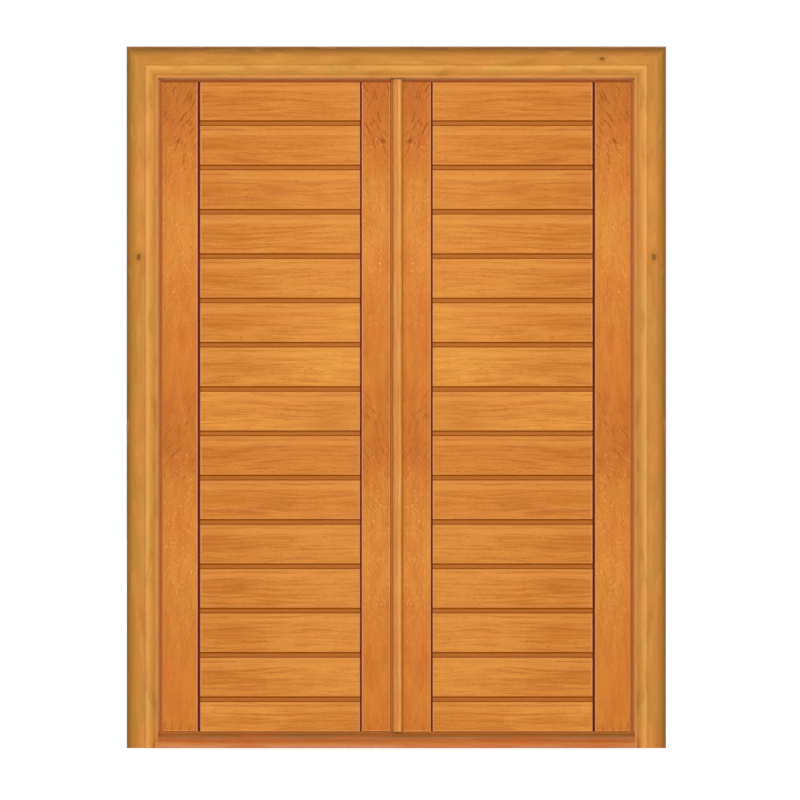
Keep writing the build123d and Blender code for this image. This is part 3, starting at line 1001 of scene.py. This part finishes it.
@dataclass
class MouldedFrame:
    """Head, jambs and sill: the fixed surround."""

    effects: Effects

    def build(self) -> None:
        """Dresses the four members, each with its grain along its length."""
        jamb = FrameTimber("Jamb timber", self.effects, Run.UPRIGHT).material()
        head = FrameTimber("Head timber", self.effects, Run.ACROSS, mirrored=False, crown_painted_shade=0.38,
                           knot_along=0.64, knot_from_edge=0.039, knot_radius=0.006).material()
        sill = SillTimber("Sill timber", self.effects, Run.ACROSS, mirrored=False, streak_length=0.4,
                          streak_width=0.009).material()
        for node, finish in (("head", head), ("left_jamb", jamb), ("right_jamb", jamb), ("sill", sill)):
            dress(node, finish)
            log.info("%s dressed with %s", node, finish.name)


@dataclass
class BoardedLeaf:
    """One swinging leaf: two stiles and fifteen boards between them."""

    side: Side
    stile: Material
    board: Material

    def build(self) -> None:
        """Dresses the stiles and the boards."""
        for name in ("hinge_stile", "meeting_stile"):
            dress(f"{self.side.word}_{name}", self.stile)
        for number in range(1, DOOR.board_count + 1):
            dress(f"{self.side.word}_board_{number:02d}", self.board)
        log.info("%s leaf dressed: 2 stiles, %d boards", self.side.word, DOOR.board_count)


@dataclass(frozen=True)
class Fringe:
    """Where one strip of bristles stands: its name, its leaf, and its root, tip, ends and middle plane."""

    name: str
    side: Side
    root: float
    tip: float
    centre: float
    foot: float
    top: float


@dataclass
class MeetingEdge:
    """Cover bead on the right leaf, and a brush seal on each leaf's free edge."""

    bead: Material
    pile: Material
    fringes: tuple[Fringe, ...] = (
        Fringe("front_bristles", Side.RIGHT, -0.0105, -0.0162, -0.0005, 0.0470, 2.0862),
        Fringe("rear_bristles", Side.LEFT, -0.0185, -0.0114, 0.0315, 0.0360, 2.0980),
    )
    thickness: float = 0.0026
    bristle_pitch: float = 0.0014
    raggedness: float = 0.00012
    coarse_waver: float = 913.0
    fine_waver: float = 2417.0
    fine_share: float = 0.6
    tuft_wave: float = 0.18
    thinning: float = 0.55
    columns: int = 4

    def bristles(self, fringe: Fringe) -> Piece:
        """A corrugated fringe round one seal's pile.

        Each side of the fringe is a surface of two parameters: the height up the seal, and the way out from
        root to tip. Its thickness waves with the height, one wave for each tuft, and thins to the tip, and
        the tip's reach wavers so that the edge is ragged.

        Args:
            fringe: The strip's place.

        Returns:
            The fringe as one object.
        """
        columns = self.columns
        rows = int((fringe.top - fringe.foot) / self.bristle_pitch * 2)
        height = np.linspace(fringe.foot, fringe.top, rows)[:, None]
        out = np.linspace(0.0, 1.0, columns)[None, :]
        waver = np.sin(height * self.coarse_waver) + np.sin(height * self.fine_waver) * self.fine_share
        ragged = self.raggedness * waver
        x = fringe.root + (fringe.tip - fringe.root + ragged) * out
        wave = 1.0 + self.tuft_wave * np.cos(math.tau * height / self.bristle_pitch)
        half = self.thickness / 2 * wave * (1.0 - self.thinning * out**2)
        z = np.broadcast_to(height, x.shape)
        sides = [np.stack([x, fringe.centre + sign * half, z], axis=2).reshape(-1, 3) for sign in (-1, 1)]
        faces = grid_faces(rows, columns)
        count = rows * columns
        faces = np.concatenate([faces[:, ::-1], faces + count])
        tips = np.arange(rows - 1) * columns + columns - 1
        closing = np.stack([tips, tips + columns, tips + columns + count, tips + count], axis=1)
        quads = np.concatenate([faces, closing])
        if fringe.tip > fringe.root:
            quads = quads[:, ::-1]
        return mesh_piece(fringe.name, np.concatenate(sides), quads, self.pile)

    def build(self) -> None:
        """Dresses the bead and the seals, and adds the bristles."""
        dress("meeting_bead", self.bead)
        for seal in ("meeting_seal", "rear_meeting_seal"):
            dress(seal, self.pile)
        for fringe in self.fringes:
            bristles = self.bristles(fringe)
            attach(bristles, fringe.side.body)
            log.info("%s: %d faces", fringe.name, len(bristles.data.polygons))


@dataclass
class ButtHinges:
    """Three brass butts on each leaf, with slotted screws in both flaps."""

    metal: Material
    centres: tuple[float, float, float] = (0.320, 1.110, 1.900)
    frame_face: float = 0.759
    leaf_face: float = 0.754
    screw_radius: float = 0.0037
    slot_half_width: float = 0.00045
    dome: float = 0.0005
    rim_share: float = 0.96
    rim_height: float = 0.00008
    slot_height: float = 0.00002
    screws_a_flap: int = 4
    first_turn: int = 20
    turn_step: int = 67
    rows_in: Span = (0.0205, 0.0290)
    spacing: float = 0.024

    def half_head(self) -> tuple[np.ndarray, np.ndarray]:
        """Half of a slotted screw head, on one side of its slot.

        The surface has two parameters: the share of the way from the slot's edge to the rim, and the place
        along the chord there. Its height is a shallow dome that falls with the square of the distance from
        the middle. A last row drops at the slot to make its wall.

        Returns:
            The points, with the height in their third column, and the faces.
        """
        across = np.concatenate([[0.0], np.linspace(0.0, self.rim_share, 6)])[:, None]
        x = self.slot_half_width + (self.screw_radius - self.slot_half_width) * across
        chord = np.sqrt(self.screw_radius**2 - x**2)
        y = chord * np.linspace(-1.0, 1.0, 7)[None, :]
        height = self.dome * (1.0 - (x**2 + y**2) / self.screw_radius**2) + self.rim_height
        height[0] = self.slot_height
        points = np.stack([np.broadcast_to(x, y.shape), y, height], axis=2).reshape(-1, 3)
        return points, grid_faces(7, 7)

    def screws(self, side: Side, face: float, towards: int, name: str) -> Piece:
        """The twelve screws of one side's flaps, as one object.

        Args:
            side: The leaf's side.
            face: Distance of the flap's face from the door's middle line.
            towards: 1 where the face looks away from the middle line, -1 where it looks to it.
            name: The piece's name.

        Returns:
            The screws.
        """
        half, faces = self.half_head()
        points, quads = [], []
        count = 0
        for centre in self.centres:
            for number in range(self.screws_a_flap):
                turn = math.radians(self.first_turn + self.turn_step * (count // 2) % 180)
                for flip in (0.0, math.pi):
                    c, s = math.cos(turn + flip), math.sin(turn + flip)
                    y = half[:, 0] * c - half[:, 1] * s + self.rows_in[number % 2]
                    z = half[:, 0] * s + half[:, 1] * c + centre
                    z += self.spacing * (number - (self.screws_a_flap - 1) / 2)
                    x = side.value * (face + towards * half[:, 2])
                    quads.append(faces + count * len(half))
                    points.append(np.stack([x, y, z], axis=1))
                    count += 1
        outward = side.value * towards
        order = quads if outward > 0 else [quad[:, ::-1] for quad in quads]
        return mesh_piece(name, np.concatenate(points), np.concatenate(order), self.metal)

    def build(self) -> None:
        """Dresses the hinge halves and fixes screws in each flap."""
        for side in Side:
            dress(f"{side.word}_frame_hinges", self.metal)
            dress(f"{side.word}_leaf_hinges", self.metal)
            fixed = self.screws(side, self.frame_face, -1, f"{side.word}_frame_screws")
            moving = self.screws(side, self.leaf_face, 1, f"{side.word}_leaf_screws")
            for piece, body in ((fixed, "frame"), (moving, side.body)):
                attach(piece, body)
            log.info("%s hinges dressed with 24 screws", side.word)


@dataclass
class Studio:
    """Camera square on to the moulded face, soft plain light and a white floor."""

    view_width: float = 2.491
    aim: Span = (0.0114, 1.0838)
    target_plane: float = -0.01
    distance: float = 60.0
    key_strength: float = 2.1
    rear_strength: float = 1.3
    ambient: float = 0.43
    floor_glow: float = 0.62
    floor_x: Span = (-70.0, 70.0)
    floor_y: Span = (-60.0, 90.0)
    floor_dim: Paint = (0.78, 0.78, 0.78)
    floor_bright: Paint = (0.82, 0.82, 0.82)

    def camera(self) -> None:
        """Sets the camera so that the frame of the image spans view_width at the door's face."""
        lens = bpy.data.cameras.new("Camera")
        lens.lens = lens.sensor_width * self.distance / self.view_width
        lens.clip_end = 200.0
        camera = bpy.data.objects.new("Camera", lens)
        camera.location = (self.aim[0], self.target_plane - self.distance, self.aim[1])
        camera.rotation_euler = (math.pi / 2, 0.0, 0.0)
        bpy.context.scene.collection.objects.link(camera)
        bpy.context.scene.camera = camera

    def lamp(self, name: str, azimuth: float, elevation: float, strength: float, spread: float) -> None:
        """Adds one soft distant lamp.

        Args:
            name: The lamp's name.
            azimuth: Where it stands, in degrees round from the front towards the right.
            elevation: Its height above the horizon, in degrees.
            strength: Its strength in watts a square metre.
            spread: The angle that it fills in the sky, in degrees.
        """
        sun = bpy.data.lights.new(name, "SUN")
        sun.energy = strength
        sun.angle = math.radians(spread)
        lamp = bpy.data.objects.new(name, sun)
        lamp.rotation_euler = (math.radians(90 - elevation), 0.0, math.radians(azimuth))
        bpy.context.scene.collection.objects.link(lamp)

    def white(self, graph: Graph) -> Socket:
        """1 for the rays that see the background: from the camera, off gloss and through glass."""
        path = graph.add("ShaderNodeLightPath").outputs
        seen = graph.plus(path["Is Camera Ray"], path["Is Glossy Ray"])
        return graph.math("ADD", seen, path["Is Transmission Ray"], clamp=True)

    def world(self) -> None:
        """A sky that lights evenly and looks white."""
        world = bpy.data.worlds.new("Studio")
        world.use_nodes = True
        bpy.context.scene.world = world
        graph = Graph(world.node_tree)
        sky = world.node_tree.nodes["Background"]
        sky.inputs["Color"].default_value = (1.0, 1.0, 1.0, 1.0)
        graph.feed(sky.inputs["Strength"], graph.fused(self.white(graph), 1.0 - self.ambient, self.ambient))

    def floor(self) -> None:
        """A pale floor that reads white where it is lit and keeps the door's shadow."""
        coat = Coat("Studio floor")
        speck = coat.blend(coat.noise(coat.solid, 3.0), self.floor_dim, self.floor_bright)
        glow = coat.grey(coat.times(self.white(coat), self.floor_glow))
        finish = {"Base Color": speck, "Roughness": 0.9, "Specular IOR Level": 0.0,
                  "Emission Strength": 1.0, "Emission Color": glow}
        for name, value in finish.items():
            coat.feed(coat.shader.inputs[name], value)
        x, y = np.meshgrid(self.floor_x, self.floor_y)
        points = np.stack([x.ravel(), y.ravel(), np.zeros(4)], axis=1)
        mesh_piece("floor", points, grid_faces(2, 2), coat.finish)

    def build(self) -> None:
        """Sets up everything round the door."""
        self.camera()
        self.lamp("Key", 0.0, 9.0, self.key_strength, 40.0)
        self.lamp("Rear", 180.0, 40.0, self.rear_strength, 60.0)
        self.world()
        self.floor()
        bpy.context.scene.view_settings.view_transform = "Standard"
        log.info("studio ready")


def main() -> None:
    """Dresses the door piece by piece and sets up the studio."""
    logging.basicConfig(level=logging.INFO, format="%(name)s: %(message)s")
    effects = Effects(TimberGrain(), HollowShade(), Knot(), Tarnish())
    stile = StileTimber("Stile timber", effects, Run.UPRIGHT, streak_length=0.10,
                        streak_width=0.022).material()
    board = BoardTimber("Board timber", effects, Run.ACROSS, streak_length=0.15,
                        streak_width=0.0075).material()
    bead = BeadTimber("Bead timber", effects, Run.UPRIGHT, mirrored=False, streak_length=0.4,
                      streak_width=0.008).material()
    MouldedFrame(effects).build()
    for side in Side:
        BoardedLeaf(side, stile, board).build()
    MeetingEdge(bead, BrushPile().material()).build()
    ButtHinges(Brass(effects).material()).build()
    Studio().build()


if __name__ == "__main__":
    main()
